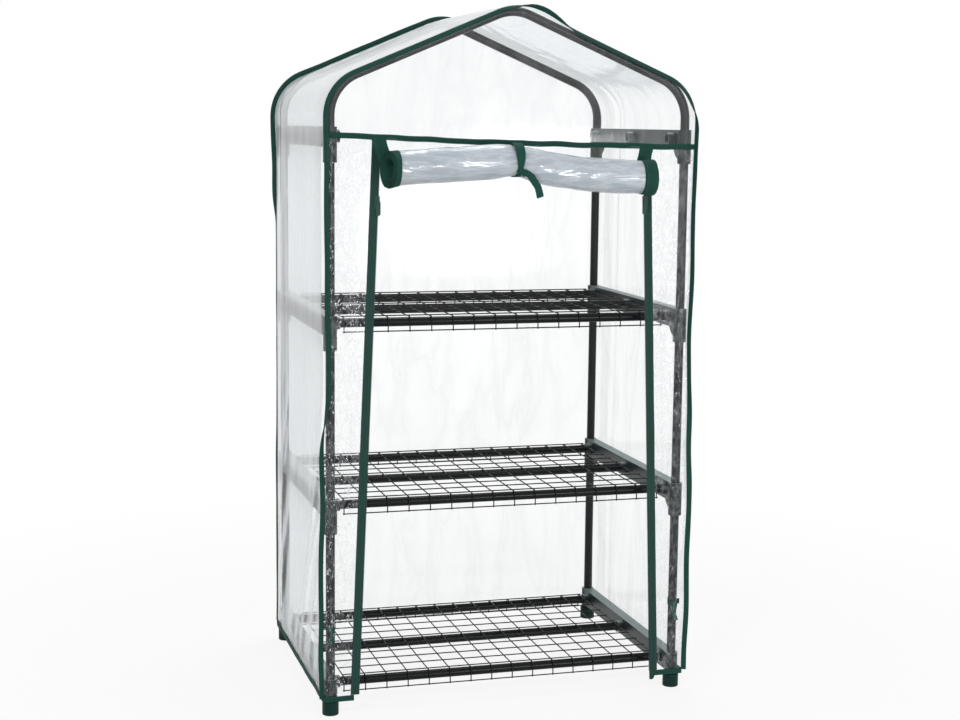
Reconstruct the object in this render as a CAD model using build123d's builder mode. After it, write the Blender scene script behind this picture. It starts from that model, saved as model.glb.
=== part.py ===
# Three-tier portable greenhouse: a frame of push-fit tubes and moulded side rails,
# lift-out wire shelves, and a clear film cover with green tape, two zips and a roll-up door.
# Millimetres. +X to the right, the door faces -Y, +Z up. The origin is on the floor,
# under the middle of the whole object's box.
import os
from math import atan2, cos, radians, sin, tan

from build123d import *

os.makedirs("parts", exist_ok=True)

# Frame tubes
tube_d = 16.0
tube_wall = 0.5
fit_clear = 0.1
post_x = 321.0
post_y = 230.0
level_pitch = 320.0
tier_names = ("lower", "middle", "upper")
roof_slope = radians(23.0)
bend_r = 76.0
knee_rise = 85.0
ridge_joint_step = 3.0
spigot_len = 30.0

# Moulded side rails, with a socket at each end and three bosses for the crossbars
rail_w = 20.0
rail_h = 34.0
rail_web = 2.0
rail_top_wall = 2.5
rail_top = 16.0
socket_wall = 3.9
socket_len = 60.0
septum_t = 3.0
boss_wall = 2.9
boss_reach = 12.0
bar_inset = 30.0
bar_seat = 2.0
gusset_len = 36.0
gusset_foot = 3.0
gusset_t = 3.0
gusset_sag = 6.0

# Foot caps
foot_floor = 4.0
foot_wall = 2.4
foot_h = 24.0

# Wire shelves
wire_d = 2.2
wire_weld = 0.8
wire_bend_r = 1.8
shelf_gap = 0.3
cross_wires = 16
cross_pitch = 39.0
long_wires = 11
lip_drop = 17.0

# Film cover and its tapes
film_t = 0.5
film_gap = 0.3
side_slack = 2.0
face_slack = 1.0
cover_lift = 2.0
edge_w = 9.0
edge_t = 2.0
hem_h = 10.0
hem_t = 1.5
header_h = 9.0
header_drop = 8.0
cover_tie_z = 160.0
cover_tie_h = 10.0
cover_tie_t = 1.0

# Zips beside the doorway
zip_inset_top = 82.0
zip_inset_foot = 46.0
zip_w = 13.0
zip_t = 1.0
bead_w = 3.0
bead_t = 2.0
slide_clear = 0.3
slider_plate = 0.9
slider_grip = 5.0
slider_h = 22.0
slider_below_roll = 14.0
stud_r = 1.5
stud_head_r = 3.0
stud_head_t = 0.6
pull_clear = 0.1
pull_gap = 0.2
pull_t = 1.0
pull_w = 8.0
pull_len = 26.0

# Rolled-up door
roll_r = 30.5
roll_pitch = 2.2
roll_half_turns = 13
roll_below_header = 48.0
roll_room = 0.8
door_lap = 9.0
door_tape_w = 25.0
door_tape_t = 1.0
tie_x = -8.0
tie_w = 18.0
tie_t = 0.8
tie_gap = 0.4
knot_w = 13.0
knot_d = 6.0
knot_h = 11.0
tail_run = 32.0
tail_drop = 40.0

# Worked-out frame sizes
tube_r = tube_d / 2
bore_r = tube_r + fit_clear
socket_r = bore_r + socket_wall
boss_r = bore_r + boss_wall
foot_bore_r = socket_r + fit_clear
foot_r = foot_bore_r + foot_wall
bar_z = foot_floor + socket_len - rail_top
level_zs = [bar_z + level * level_pitch for level in range(len(tier_names) + 1)]
eave_z = level_zs[-1]
septum_mid = rail_top - socket_len / 2
socket_bore = (socket_len - septum_t) / 2
bar_y = post_y - bar_inset
apex_z = eave_z + knee_rise + post_x * tan(roof_slope)
ridge_run = bend_r * tan(roof_slope) + ridge_joint_step

# Worked-out cover sizes, as distances from the frame's middle
film_x = post_x + socket_r + side_slack
film_y = post_y + socket_r + face_slack
cover_x = film_x + film_t
cover_y = film_y + film_t
cover_z = foot_h + cover_lift
hem_top = cover_z + hem_h
header_z = eave_z - header_drop
zip_low = hem_top
zip_high = header_z - header_h / 2
zip_top_x = post_x - zip_inset_top
zip_foot_x = post_x - zip_inset_foot
zip_lean = atan2(zip_foot_x - zip_top_x, zip_high - zip_low)
slider_face = zip_t / 2 + bead_t / 2 + slide_clear + slider_plate
stud_face = slider_face + pull_gap + pull_t + pull_gap + stud_head_t
header_d = stud_face + roll_room
door_x = zip_top_x + door_lap
drop_y = cover_y + header_d + film_t / 2
roll_z = header_z - roll_below_header
tie_r = roll_r + door_tape_t / 2 + tie_gap + tie_t / 2
knot_back = drop_y + roll_r + tie_r - tie_t / 2
slider_z = roll_z - roll_r - slider_below_roll - slider_h / 2

# The origin sits under the middle of the box, so the frame's middle stands a little behind it
frame_y = (knot_back + knot_d - cover_y - hem_t) / 2
sides = {"left": -1, "right": 1}
rows = {"front": -1, "rear": 1}
standing = (Align.CENTER, Align.CENTER, Align.MIN)
hanging = (Align.CENTER, Align.CENTER, Align.MAX)


def save(piece, label):
    """Label a finished piece and write it as its own file."""
    piece.label = label
    export_step(piece, f"parts/{label}.step")


def face_plane(depth):
    """Upright plane facing the front, a signed depth behind the frame's middle."""
    return Plane.XZ.offset(-(frame_y + depth))


def zip_edge_x(z):
    """How far from the middle the zip tape's inner edge is at a height."""
    return zip_foot_x - (z - zip_low) * tan(zip_lean)


def zip_plane(side, z):
    """Plane square to a zip, with its origin on the tape's inner edge and its x axis pointing outwards."""
    return Plane(
        origin=(side * zip_edge_x(z), frame_y - cover_y - zip_t / 2, z),
        x_dir=(side * cos(zip_lean), 0, sin(zip_lean)),
        z_dir=(-side * sin(zip_lean), 0, cos(zip_lean)),
    )


def cover_corners(outset, low_z):
    """Corners of the cover's arch, outset from the film's inner face, from left foot to right foot."""
    half = film_x + outset
    top = apex_z + (tube_r + film_gap + outset) / cos(roof_slope)
    knee = top - half * tan(roof_slope)
    return [(-half, low_z), (-half, knee), (0, top), (half, knee), (half, low_z)]


def cover_arch(outset, low_z):
    """The cover's arch as one line, with its knees and ridge rounded over the bent tubes."""
    return FilletPolyline(*cover_corners(outset, low_z), radius=bend_r + tube_r + film_gap + outset)


# Uprights stand on the septum of one socket and reach the septum of the next
upright_len = level_pitch - septum_t
for tier, tier_name in enumerate(tier_names):
    foot_of_tube = level_zs[tier] + septum_mid + septum_t / 2
    for row_name, row in rows.items():
        for side_name, side in sides.items():
            with BuildPart() as upright:
                with Locations((side * post_x, frame_y + row * post_y, foot_of_tube)):
                    Cylinder(tube_r, upright_len, align=standing)
                    Cylinder(tube_r - tube_wall, upright_len, align=standing, mode=Mode.SUBTRACT)
            save(upright.part, f"upright_{tier_name}_{row_name}_{side_name}")

# Roof tubes are two bent halves to each arch, pushed together just right of the ridge
leg_foot = eave_z + septum_mid + septum_t / 2
knee_z = eave_z + knee_rise
ridge_joint = (ridge_run * cos(roof_slope), apex_z - ridge_run * sin(roof_slope))
spigot_r = tube_r - tube_wall - fit_clear
for row_name, row in rows.items():
    arch_plane = face_plane(row * post_y)
    ridge_plane = Plane(
        origin=arch_plane.from_local_coords(Vector(*ridge_joint)),
        z_dir=(cos(roof_slope), 0, -sin(roof_slope)),
    )
    foot_points = {name: (side * post_x, leg_foot) for name, side in sides.items()}
    with BuildPart() as roof_left:
        with BuildLine(arch_plane) as left_line:
            FilletPolyline(
                foot_points["left"], (-post_x, knee_z), (0, apex_z), ridge_joint, radius=bend_r
            )
        with BuildSketch(Plane(arch_plane.from_local_coords(Vector(*foot_points["left"])))):
            Circle(tube_r)
            Circle(tube_r - tube_wall, mode=Mode.SUBTRACT)
        sweep(path=left_line.wires()[0])
        with BuildSketch(ridge_plane.offset(-ridge_joint_step)):
            Circle(tube_r - tube_wall)
            Circle(spigot_r - tube_wall, mode=Mode.SUBTRACT)
        extrude(amount=ridge_joint_step)
        with BuildSketch(ridge_plane):
            Circle(spigot_r)
            Circle(spigot_r - tube_wall, mode=Mode.SUBTRACT)
        extrude(amount=spigot_len)
    save(roof_left.part, f"roof_tube_{row_name}_left")

    with BuildPart() as roof_right:
        with BuildLine(arch_plane) as right_line:
            FilletPolyline(foot_points["right"], (post_x, knee_z), ridge_joint, radius=bend_r)
        with BuildSketch(Plane(arch_plane.from_local_coords(Vector(*foot_points["right"])))):
            Circle(tube_r)
            Circle(tube_r - tube_wall, mode=Mode.SUBTRACT)
        sweep(path=right_line.wires()[0])
    save(roof_right.part, f"roof_tube_{row_name}_right")

# Side rails are one moulding: an inverted channel, end sockets, bosses, and gussets above the feet
rail_names = tier_names + ("eave",)
bar_ys = {"front": -bar_y, "centre": 0, "rear": bar_y}
for level_z, rail_name in zip(level_zs, rail_names):
    for side_name, side in sides.items():
        with BuildPart() as rail:
            with BuildSketch(face_plane(0)):
                with Locations((side * post_x, level_z + rail_top)):
                    Rectangle(rail_w, rail_h, align=(Align.CENTER, Align.MAX))
                with Locations((side * post_x, level_z + rail_top - rail_top_wall)):
                    hollow = (rail_w - 2 * rail_web, rail_h - rail_top_wall)
                    Rectangle(*hollow, align=(Align.CENTER, Align.MAX), mode=Mode.SUBTRACT)
            extrude(amount=post_y, both=True)
            posts = [(side * post_x, frame_y + row * post_y) for row in rows.values()]
            with Locations(*[(x, y, level_z + rail_top) for x, y in posts]):
                Cylinder(socket_r, socket_len, align=hanging)
            boss_len = rail_w - rail_web + boss_reach
            boss_mid = side * (post_x - (rail_web + boss_reach) / 2)
            with Locations(*[(boss_mid, frame_y + y, level_z) for y in bar_ys.values()]):
                Cylinder(boss_r, boss_len, rotation=(0, 90, 0))
            if rail_name != tier_names[0]:
                gusset_top = level_z + rail_top - rail_h + rail_web
                gusset_low = level_z + rail_top - socket_len + gusset_foot
                with BuildSketch(Plane.YZ.offset(side * post_x)):
                    for row in rows.values():
                        post = frame_y + row * post_y
                        tip = post - row * (socket_r + gusset_len)
                        skirt = post - row * socket_r
                        with BuildLine():
                            Polyline((tip, gusset_top), (post, gusset_top), (post, gusset_low))
                            Line((post, gusset_low), (skirt, gusset_low))
                            SagittaArc((skirt, gusset_low), (tip, gusset_top), row * gusset_sag)
                        make_face()
                extrude(amount=gusset_t / 2, both=True)
            with Locations(*[(x, y, level_z + rail_top) for x, y in posts]):
                Cylinder(bore_r, socket_bore, align=hanging, mode=Mode.SUBTRACT)
            with Locations(*[(x, y, level_z + rail_top - socket_len) for x, y in posts]):
                Cylinder(bore_r, socket_bore, align=standing, mode=Mode.SUBTRACT)
            bar_bore = bar_seat + rail_w / 2 + boss_reach
            bore_mid = side * (post_x + bar_seat - bar_bore / 2)
            with Locations(*[(bore_mid, frame_y + y, level_z) for y in bar_ys.values()]):
                Cylinder(bore_r, bar_bore, rotation=(0, 90, 0), mode=Mode.SUBTRACT)
        save(rail.part, f"side_rail_{rail_name}_{side_name}")

# Crossbars run between the rails' bosses, three under each shelf
for level_z, tier_name in zip(level_zs, tier_names):
    for bar_name, y in bar_ys.items():
        with BuildPart() as crossbar:
            with Locations((0, frame_y + y, level_z)):
                Cylinder(tube_r, 2 * (post_x + bar_seat), rotation=(0, 90, 0))
                bar_hollow = tube_r - tube_wall
                Cylinder(bar_hollow, 2 * (post_x + bar_seat), rotation=(0, 90, 0), mode=Mode.SUBTRACT)
        save(crossbar.part, f"crossbar_{tier_name}_{bar_name}")

# Wire shelves lie on the crossbars: a flat mesh, whose cross wires turn down into a lip over the
# front and rear bars
cross_half = cross_pitch * (cross_wires - 1) / 2
cross_xs = [i * cross_pitch - cross_half for i in range(cross_wires)]
long_len = 2 * cross_half + 2 * wire_d
long_step = 2 * bar_y / (long_wires - 1)
long_ys = [i * long_step - bar_y for i in range(long_wires)]
lip_y = bar_y + tube_r + shelf_gap + wire_d / 2
rim_y = lip_y + wire_d - wire_weld
for level_z, tier_name in zip(level_zs, tier_names):
    wire_z = level_z + tube_r + shelf_gap + wire_d / 2
    long_z = wire_z + wire_d - wire_weld
    rim_z = level_z - lip_drop + wire_d
    with BuildPart() as mesh:
        with BuildSketch(*[Plane.YZ.offset(x) for x in cross_xs]) as cross_wire:
            with Locations((frame_y, wire_z)):
                Rectangle(2 * lip_y + wire_d, wire_d)
            fillet(cross_wire.vertices().group_by(Axis.Y)[-1], radius=wire_bend_r)
        extrude(amount=wire_d / 2, both=True)
        with Locations(*[(0, frame_y + y, long_z) for y in long_ys]):
            Box(long_len, wire_d, wire_d)
    shelf = [mesh.part]
    for row in rows.values():
        with BuildPart() as lip:
            with Locations(*[(x, frame_y + row * lip_y, wire_z - wire_d / 2) for x in cross_xs]):
                Box(wire_d, wire_d, tube_r + shelf_gap + lip_drop, align=hanging)
            with Locations((0, frame_y + row * rim_y, rim_z)):
                Box(long_len, wire_d, wire_d)
        shelf.append(lip.part)
    save(Compound(shelf), f"wire_shelf_{tier_name}")

# Foot caps push over the lowest sockets
for row_name, row in rows.items():
    for side_name, side in sides.items():
        with BuildPart() as foot:
            with Locations((side * post_x, frame_y + row * post_y, 0)):
                Cylinder(foot_r, foot_h, align=standing)
            with Locations((side * post_x, frame_y + row * post_y, foot_floor)):
                Cylinder(foot_bore_r, foot_h - foot_floor, align=standing, mode=Mode.SUBTRACT)
            fillet(foot.edges().group_by(Axis.Z)[0], radius=foot_wall / 2)
        save(foot.part, f"foot_{row_name}_{side_name}")

# Film of the two sides and the roof, one piece over the arches
with BuildPart() as cover_wrap:
    with BuildSketch(face_plane(0)):
        with BuildLine():
            cover_arch(film_t / 2, cover_z)
        trace(line_width=film_t)
    extrude(amount=cover_y, both=True)
save(cover_wrap.part, "cover_sides_and_roof")

# Rear film panel
with BuildPart() as cover_back:
    with BuildSketch(face_plane(film_y)):
        with BuildLine():
            back_edge = cover_arch(0, cover_z)
            Line(back_edge @ 1, back_edge @ 0)
        make_face()
    extrude(amount=-film_t)
save(cover_back.part, "cover_back")

# Front film: a gable above the doorway and a strip beside each zip
with BuildPart() as cover_gable:
    with BuildSketch(face_plane(-film_y)):
        with BuildLine():
            gable_edge = cover_arch(0, header_z)
            Line(gable_edge @ 1, gable_edge @ 0)
        make_face()
    extrude(amount=film_t)
save(cover_gable.part, "cover_front_gable")

lap = zip_w / 2
for side_name, side in sides.items():
    with BuildPart() as cover_strip:
        with BuildSketch(face_plane(-film_y)):
            with BuildLine():
                Polyline(
                    (side * film_x, cover_z),
                    (side * film_x, header_z),
                    (side * (zip_edge_x(header_z) + lap), header_z),
                    (side * (zip_edge_x(cover_z) + lap), cover_z),
                    close=True,
                )
            make_face()
        extrude(amount=film_t)
    save(cover_strip.part, f"cover_front_strip_{side_name}")

# Edge tape stands out as a fin round the front and the rear seam
for row_name, row in rows.items():
    with BuildPart() as edge_tape:
        with BuildSketch(face_plane(row * cover_y)):
            with BuildLine():
                cover_arch(film_t + edge_w / 2, hem_top)
            trace(line_width=edge_w)
        extrude(amount=row * edge_t)
    save(edge_tape.part, f"edge_tape_{row_name}")

# Hem tape round the foot of the cover, open at the doorway
with BuildPart() as hem:
    with BuildSketch(Plane((0, frame_y, cover_z))):
        Rectangle(2 * (cover_x + hem_t), 2 * (cover_y + hem_t))
        Rectangle(2 * cover_x, 2 * cover_y, mode=Mode.SUBTRACT)
        with Locations((0, -cover_y)):
            Rectangle(2 * (zip_foot_x + lap), 2 * hem_t + film_t, mode=Mode.SUBTRACT)
    extrude(amount=hem_h)
save(hem.part, "hem_tape")

# Header seam across the front, which carries the door
with BuildPart() as header:
    with Locations((0, frame_y - cover_y, header_z)):
        Box(2 * cover_x, header_d, header_h, align=(Align.CENTER, Align.MAX, Align.CENTER))
save(header.part, "header_seam")

# Zip tape beside the doorway, with its toothed bead along the inner edge
zip_len = (zip_high - zip_low) / cos(zip_lean) - zip_w * tan(zip_lean)
for side_name, side in sides.items():
    with BuildPart() as zip_tape:
        with BuildSketch(zip_plane(side, zip_low)):
            with Locations((zip_w / 2, 0)):
                Rectangle(zip_w, zip_t)
            with Locations((-bead_w / 2, 0)):
                Rectangle(bead_w, bead_t)
        extrude(amount=zip_len)
    save(zip_tape.part, f"zip_tape_{side_name}")

# Zip slider: a channel closed round the bead, slit for the tape, with a stud for its pull
body_in = bead_w + slide_clear + slider_plate
body_w = body_in + slider_grip
body_d = bead_t + 2 * (slide_clear + slider_plate)
for side_name, side in sides.items():
    slide_plane = zip_plane(side, slider_z)
    with BuildPart() as slider:
        with BuildSketch(slide_plane.offset(-slider_h / 2)):
            with Locations((body_w / 2 - body_in, 0)):
                RectangleRounded(body_w, body_d, slider_plate / 2)
            with Locations((-bead_w / 2, 0)):
                Rectangle(bead_w + 2 * slide_clear, bead_t + 2 * slide_clear, mode=Mode.SUBTRACT)
            with Locations((slider_grip / 2, 0)):
                Rectangle(slider_grip, zip_t + 2 * slide_clear, mode=Mode.SUBTRACT)
        extrude(amount=slider_h)
        stud_at = slide_plane.from_local_coords(Vector(-bead_w / 2, 0))
        stud_plane = Plane(
            origin=(stud_at.X, stud_at.Y - body_d / 2, stud_at.Z), x_dir=(1, 0, 0), z_dir=(0, -1, 0)
        )
        with BuildSketch(stud_plane):
            Circle(stud_r)
        extrude(amount=2 * pull_gap + pull_t)
        with BuildSketch(stud_plane.offset(2 * pull_gap + pull_t)):
            Circle(stud_head_r)
        extrude(amount=stud_head_t)
    save(slider.part, f"zip_slider_{side_name}")

    with BuildPart() as pull:
        with BuildSketch(stud_plane.offset(pull_gap)):
            with Locations((0, (pull_w - pull_len) / 2)):
                SlotCenterToCenter(pull_len - pull_w, pull_w, rotation=90)
            Circle(stud_r + pull_clear, mode=Mode.SUBTRACT)
        extrude(amount=pull_t)
    save(pull.part, f"zip_pull_{side_name}")
    print(f"{side_name} zip pull turns about {stud_plane.origin}")


def roll_line(half_turns, outset):
    """The door's winding seen from its end, from the drop's lower edge inwards, in half turns."""
    back = frame_y - drop_y + outset
    for half_turn in range(half_turns):
        radius = roll_r - half_turn * roll_pitch / 2 + outset
        turn = -1 if half_turn % 2 == 0 else 1
        front = back + turn * 2 * radius
        crest = ((back + front) / 2, roll_z + turn * radius)
        ThreePointArc((back, roll_z), crest, (front, roll_z))
        back = front


# Rolled-up film of the door, one unbroken winding between its two taped edges
film_half = door_x - door_tape_w
with BuildPart() as door_roll:
    with BuildSketch(Plane.YZ.offset(-film_half)):
        with BuildLine() as winding:
            roll_line(roll_half_turns, 0)
        trace(line_width=film_t)
    extrude(amount=2 * film_half)
save(door_roll.part, "door_roll")

# The door's taped edges are wound up with it and show as green discs at the ends
with BuildPart() as door_tapes:
    for side in sides.values():
        with BuildSketch(Plane.YZ.offset(side * film_half)):
            with BuildLine():
                roll_line(roll_half_turns, 0)
            trace(line_width=door_tape_t)
        extrude(amount=side * door_tape_w)
save(door_tapes.part, "door_edge_tapes")

# Least gap between the winding's turns, measured on points a full turn apart
steps = 40
turn_points = [(edge @ (i / steps)) for edge in winding.edges() for i in range(steps)]
gaps = [
    (a - b).length - door_tape_t
    for i, a in enumerate(turn_points)
    for b in turn_points[i + steps :]
]
print(f"least gap between the turns of the door roll {min(gaps):.2f} mm")
print(f"film wound on the roll {sum(edge.length for edge in winding.edges()):.0f} mm")

# Free part of the door between the header and the roll
with BuildPart() as door_drop:
    with Locations((0, frame_y - drop_y, roll_z)):
        Box(2 * door_x, film_t, header_z - roll_z, align=(Align.CENTER, Align.CENTER, Align.MIN))
save(door_drop.part, "door_drop")

# Ribbon tied round the roll, with its knot in front and one tail
with BuildPart() as door_tie:
    with BuildSketch(Plane.YZ.offset(tie_x)):
        with BuildLine():
            roll_line(2, tie_r - roll_r)
        trace(line_width=tie_t)
    extrude(amount=tie_w / 2, both=True)
    with Locations((tie_x, frame_y - knot_back, roll_z)):
        Box(knot_w, knot_d, knot_h, align=(Align.CENTER, Align.MAX, Align.CENTER))
    fillet(door_tie.edges().filter_by(Axis.X).group_by(Axis.Y)[0], radius=knot_d / 3)
    with BuildSketch(face_plane(-knot_back)):
        with BuildLine():
            Polyline(
                (tie_x, roll_z),
                (tie_x + tail_run, roll_z - tail_drop),
                (tie_x + tail_run + knot_w, roll_z - tail_drop + knot_w / 2),
                (tie_x + knot_w, roll_z),
                close=True,
            )
        make_face()
    extrude(amount=tie_t)
save(door_tie.part, "door_tie")

# Ribbons that hold the cover's front corners to the uprights
tie_reach = film_x - post_x - bore_r
with BuildPart() as cover_ties:
    for side in sides.values():
        with Locations((side * post_x, frame_y - post_y, cover_tie_z)):
            Cylinder(bore_r + cover_tie_t, cover_tie_h)
            Cylinder(bore_r, cover_tie_h, mode=Mode.SUBTRACT)
        with Locations((side * (film_x - tie_reach / 2), frame_y - post_y, cover_tie_z)):
            Box(tie_reach, cover_tie_t, cover_tie_h)
save(cover_ties.part, "cover_ties")
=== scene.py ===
# %% [markdown]
# # Dressing a portable greenhouse
# The CAD frame already holds every tube, socket, zip and shelf at its real size. What it lacks is
# what makes the object look real: film that wrinkles, tape that is woven, wire that is round. This
# lesson loads the frame, leaves it where it is, and adds those pieces one by one. First comes the
# frame itself.

# %% Load the frame
from math import atan2, cos, exp, pi, radians, sin, tan

import bmesh
import bpy
from mathutils import Matrix, Vector, noise
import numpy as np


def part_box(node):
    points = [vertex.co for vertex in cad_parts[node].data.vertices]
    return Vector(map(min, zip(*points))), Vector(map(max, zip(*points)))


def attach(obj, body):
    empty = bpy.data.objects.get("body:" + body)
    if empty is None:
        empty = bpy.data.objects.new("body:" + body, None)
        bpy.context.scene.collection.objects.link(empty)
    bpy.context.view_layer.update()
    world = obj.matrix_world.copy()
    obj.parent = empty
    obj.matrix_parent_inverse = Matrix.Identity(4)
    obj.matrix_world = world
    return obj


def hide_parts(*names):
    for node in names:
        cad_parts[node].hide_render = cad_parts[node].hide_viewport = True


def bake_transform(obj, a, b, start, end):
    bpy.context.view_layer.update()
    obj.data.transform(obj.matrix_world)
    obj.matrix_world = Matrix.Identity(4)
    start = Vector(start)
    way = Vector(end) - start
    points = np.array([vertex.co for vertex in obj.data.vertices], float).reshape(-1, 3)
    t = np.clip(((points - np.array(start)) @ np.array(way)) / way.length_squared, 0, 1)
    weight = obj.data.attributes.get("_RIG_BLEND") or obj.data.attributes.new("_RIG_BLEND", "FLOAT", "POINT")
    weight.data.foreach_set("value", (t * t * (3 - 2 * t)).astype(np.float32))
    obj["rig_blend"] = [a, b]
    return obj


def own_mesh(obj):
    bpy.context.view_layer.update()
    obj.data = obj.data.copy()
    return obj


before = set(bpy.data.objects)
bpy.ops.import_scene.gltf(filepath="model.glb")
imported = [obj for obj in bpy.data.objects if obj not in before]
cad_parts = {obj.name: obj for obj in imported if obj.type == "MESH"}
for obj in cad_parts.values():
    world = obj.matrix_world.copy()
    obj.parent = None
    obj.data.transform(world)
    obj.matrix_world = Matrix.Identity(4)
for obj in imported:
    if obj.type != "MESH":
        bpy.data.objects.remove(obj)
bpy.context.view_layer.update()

# %% [markdown]
# ## Measures
# Everything below is in metres. The cover is one bent outline, an arch with two rounded knees and
# a rounded ridge, so a handful of numbers gives every panel and every tape. They are read from the
# frame's own boxes where that is possible, because then a new frame moves the film with it.

# %% Measures of the cover
mm = 0.001
film_t = 0.5 * mm
roof_slope = radians(23)
film_bend = 84.55 * mm
wrap_low, wrap_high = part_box("cover_sides_and_roof")
frame_y = (wrap_low.y + wrap_high.y) / 2
film_half = wrap_high.x - film_t / 2
film_front = wrap_low.y + film_t / 2
film_rear = wrap_high.y - film_t / 2
cover_z = wrap_low.z
knee_x = film_half - film_bend
ridge_cz = wrap_high.z - film_t / 2 - film_bend
knee_cz = ridge_cz - knee_x * tan(roof_slope)
slope_len = knee_x / cos(roof_slope)
knee_turn = pi / 2 - roof_slope
header_low, header_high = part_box("header_seam")
header_z = (header_low.z + header_high.z) / 2
header_y = (header_low.y + header_high.y) / 2
hem_low, hem_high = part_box("hem_tape")

# %% [markdown]
# ## Camera
# The photograph is taken from the front left, a little above the middle of the frame, with a lens
# of about 31 degrees and a slight roll. The camera is built from those facts: where it stands,
# what it looks at, and how far it is rolled.

# %% Camera
stand = Vector((-0.89, -3.0798, 1.0329))
aim = Vector((0.0009, -0.004, 0.5937))
roll = radians(0.619)
look = (aim - stand).normalized()
level = look.cross(Vector((0, 0, 1))).normalized()
upward = level.cross(look)
right = level * cos(roll) + upward * sin(roll)
top = upward * cos(roll) - level * sin(roll)
lens = bpy.data.cameras.new("camera")
lens.sensor_fit = "HORIZONTAL"
lens.angle = radians(31.02)
camera = bpy.data.objects.new("camera", lens)
camera.matrix_world = Matrix((right, top, -look)).transposed().to_4x4()
camera.location = stand
bpy.context.scene.collection.objects.link(camera)
bpy.context.scene.camera = camera
print(f"camera {(aim - stand).length:.2f} m away")

# %% [markdown]
# ## Node tools
# The world, the floor and every finish are node trees, and each node takes the same steps: make
# it, set its choices, then link or set its inputs. One function does that. The others are names
# for the nodes that turn up most, so that a finish below reads as what it does.


# %% Node tools
def wire(tree, source, target):
    tree.links.new(source, target)


def feed(tree, made, inputs):
    """Link or set some inputs of a node."""
    for key, value in inputs.items():
        if isinstance(value, bpy.types.NodeSocket):
            wire(tree, value, made.inputs[key])
        else:
            made.inputs[key].default_value = value
    return made


def node(tree, kind, inputs=None, **settings):
    """Add a node, set its choices, then feed its inputs."""
    made = tree.nodes.new(kind)
    for key, value in settings.items():
        setattr(made, key, value)
    return feed(tree, made, inputs or {})


def sum_up(tree, operation, *values, clamp=False):
    """One Math node."""
    made = node(tree, "ShaderNodeMath", dict(enumerate(values)), operation=operation, use_clamp=clamp)
    return made.outputs[0]


def remap(tree, value, start=(0.0, 1.0), end=(0.0, 1.0), soft=False):
    """One Map Range node: a straight or a soft ramp from one span to another."""
    spans = {"From Min": start[0], "From Max": start[1], "To Min": end[0], "To Max": end[1]}
    ramp = "SMOOTHSTEP" if soft else "LINEAR"
    made = node(tree, "ShaderNodeMapRange", {"Value": value, **spans}, interpolation_type=ramp)
    return made.outputs["Result"]


def mixed(tree, share, first, second):
    """One Mix Shader node."""
    return node(tree, "ShaderNodeMixShader", {0: share, 1: first.outputs[0], 2: second.outputs[0]})


def show(tree, shader):
    wire(tree, shader.outputs[0], tree.nodes["Material Output"].inputs["Surface"])


def start_finish(name):
    mat = bpy.data.materials.new(name)
    mat.use_nodes = True
    tree = mat.node_tree
    return mat, tree, tree.nodes["Principled BSDF"]


print("node tools ready")

# %% [markdown]
# ## Floor and background
# The object stands on plain white. A white room would give that too, but it would show its corners
# in the film. So the world gives an even light, and shows itself pure white to the camera and to
# reflections. The floor takes the object's shadow near it and fades into the same white further
# out, so there is no horizon.

# %% Floor and background
floor_tone = 0.86
white_near = 0.86
floor_r = 30
shadow_near, shadow_far = 0.5, 1.8
world_glow = 0.45


def seen_directly(tree):
    """A value of 1 for rays from the camera, in mirrors and through glass."""
    path = node(tree, "ShaderNodeLightPath").outputs
    total = path["Is Camera Ray"]
    for name in ("Is Glossy Ray", "Is Transmission Ray"):
        total = sum_up(tree, "ADD", total, path[name], clamp=True)
    return total


def build_world():
    world = bpy.data.worlds.new("studio")
    world.use_nodes = True
    tree = world.node_tree
    strength = remap(tree, seen_directly(tree), end=(world_glow, 1.0))
    feed(tree, tree.nodes["Background"], {"Color": (1, 1, 1, 1), "Strength": strength})
    bpy.context.scene.world = world


def build_floor():
    bm = bmesh.new()
    bmesh.ops.create_circle(bm, cap_ends=True, segments=64, radius=floor_r)
    mesh = bpy.data.meshes.new("floor")
    bm.to_mesh(mesh)
    bm.free()
    floor = bpy.data.objects.new("floor", mesh)
    bpy.context.scene.collection.objects.link(floor)
    mat, tree, paint = start_finish("floor white")
    feed(tree, paint, {"Base Color": (floor_tone, floor_tone, floor_tone, 1), "Roughness": 0.8})
    place = node(tree, "ShaderNodeTexCoord").outputs["Object"]
    far_out = node(tree, "ShaderNodeVectorMath", {0: place}, operation="LENGTH").outputs["Value"]
    fade = remap(tree, far_out, (shadow_near, shadow_far), (white_near, 1.0), soft=True)
    share = sum_up(tree, "MULTIPLY", fade, seen_directly(tree))
    show(tree, mixed(tree, share, paint, node(tree, "ShaderNodeEmission")))
    mesh.materials.append(mat)


build_world()
build_floor()
print(f"floor takes shadow to {shadow_far} m")

# %% [markdown]
# ## Light
# Three soft lamps give the film its glints. One large lamp would light it as well, but film mirrors
# only a few hundredths of what falls on it, so the lamps are fairly small and bright.


# %% Lamps
def lamp(name, place, size, brightness):
    """A square soft lamp that gives the object this brightness on a white card."""
    light = bpy.data.lights.new(name, "AREA")
    light.size = size
    reach = Vector(place) - aim
    light.energy = brightness * pi**2 * reach.length_squared
    ob = bpy.data.objects.new(name, light)
    ob.matrix_world = reach.to_track_quat("Z", "Y").to_matrix().to_4x4()
    ob.location = place
    bpy.context.scene.collection.objects.link(ob)


lamp("key lamp", (-1.9, -2.9, 2.7), 0.5, 0.34)
lamp("fill lamp", (1.0, -3.1, 0.6), 0.4, 0.22)
lamp("roof lamp", (0.5, 0.9, 3.4), 0.9, 0.32)
bpy.context.scene.view_settings.view_transform = "Standard"
print("lamps:", len(bpy.data.lights))

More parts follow.
